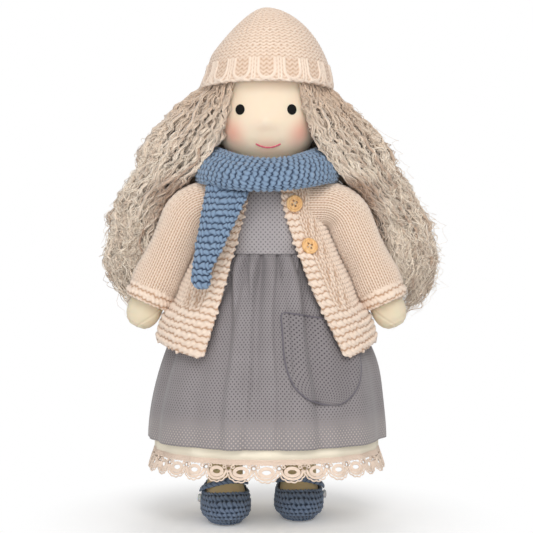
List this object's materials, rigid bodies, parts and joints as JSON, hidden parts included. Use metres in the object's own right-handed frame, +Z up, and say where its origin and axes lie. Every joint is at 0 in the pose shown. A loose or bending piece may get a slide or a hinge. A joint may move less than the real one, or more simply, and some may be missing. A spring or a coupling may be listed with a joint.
{
  "type": "cloth doll",
  "caption": "Standing cloth doll with turning head, swinging arms and legs, curly hair, lift-off knitted hat, scarf, cardigan, dress, petticoat and shoes.",
  "frame": {"origin": "on the floor under the middle of the doll", "axes": "+Z up to the top of the hat; the doll faces -Y; her own left side is +X"},
  "size_m": [0.272, 0.156, 0.3846],
  "materials": {
    "jersey_skin": "fine cotton jersey",
    "jersey_leg": "tan cotton jersey",
    "stuffing_wool": "carded wool",
    "sewing_thread": "twisted cotton thread",
    "eye_thread": "black satin stitch",
    "mouth_thread": "pink back stitch",
    "mohair": "curly mohair, pale grey-blond",
    "knit_cream": "knitted wool, peachy cream",
    "knit_blue": "chunky knitted wool, denim blue",
    "crochet_blue": "crocheted wool, slate blue",
    "eyelet_grey": "fine grey knit with pinhole eyelets",
    "cotton_cream": "thin cream cotton",
    "lace_cream": "cotton lace",
    "button_wood": "pale wood, satin",
    "button_clear": "milky white"
  },
  "bodies": {
    "torso": {"torso_stuffing": "stuffing_wool", "torso_skin": "jersey_skin", "dress_bodice": "eyelet_grey", "dress_skirt": "eyelet_grey", "dress_pocket": "eyelet_grey", "petticoat": "cotton_cream", "lace_trim": "lace_cream", "cardigan_back": "knit_cream", "cardigan_front_left": "knit_cream", "cardigan_front_right": "knit_cream", "scarf_wrap": "knit_blue", "scarf_tail": "knit_blue", "button_top": "button_wood", "button_thread_top": "sewing_thread", "button_bottom": "button_wood", "button_thread_bottom": "sewing_thread"},
    "head": {"head_stuffing": "stuffing_wool", "head_skin": "jersey_skin", "neck_tie": "sewing_thread", "eye_left": "eye_thread", "eye_right": "eye_thread", "mouth": "mouth_thread", "wig_cap": "mohair", "hair_left": "mohair", "hair_right": "mohair", "hair_back": "mohair", "hair_crown": "mohair"},
    "hat": {"hat_crown": "knit_cream", "hat_band": "knit_cream"},
    "arm_left": {"arm_left_stuffing": "stuffing_wool", "arm_left_skin": "jersey_skin", "sleeve_left": "knit_cream", "cuff_left": "knit_cream"},
    "arm_right": {"arm_right_stuffing": "stuffing_wool", "arm_right_skin": "jersey_skin", "sleeve_right": "knit_cream", "cuff_right": "knit_cream"},
    "leg_left": {"leg_left_stuffing": "stuffing_wool", "leg_left_skin": "jersey_leg", "shoe_left": "crochet_blue", "shoe_strap_left": "crochet_blue", "shoe_button_left": "button_clear"},
    "leg_right": {"leg_right_stuffing": "stuffing_wool", "leg_right_skin": "jersey_leg", "shoe_right": "crochet_blue", "shoe_strap_right": "crochet_blue", "shoe_button_right": "button_clear"}
  },
  "joints": [
    {"name": "head_turn", "type": "hinge", "parent": "torso", "child": "head", "pos_m": [0, 0, 0.262], "axis": [0, 0, 1], "range_deg": [-30, 30], "deforming": ["hair_left", "hair_right", "hair_back"]},
    {"name": "hat_lift", "type": "slide", "parent": "head", "child": "hat", "axis": [0, 0, 1], "range_m": [0, 0.11]},
    {"name": "shoulder_left", "type": "hinge", "parent": "torso", "child": "arm_left", "pos_m": [0.0425, -0.003, 0.238], "axis": [-1, 0, 0], "range_deg": [-25, 80]},
    {"name": "shoulder_right", "type": "hinge", "parent": "torso", "child": "arm_right", "pos_m": [-0.0425, -0.003, 0.238], "axis": [-1, 0, 0], "range_deg": [-25, 80]},
    {"name": "hip_left", "type": "hinge", "parent": "torso", "child": "leg_left", "pos_m": [0.028, 0, 0.1042], "axis": [-1, 0, 0], "range_deg": [-20, 20]},
    {"name": "hip_right", "type": "hinge", "parent": "torso", "child": "leg_right", "pos_m": [-0.028, 0, 0.1042], "axis": [-1, 0, 0], "range_deg": [-20, 20]}
  ]
}
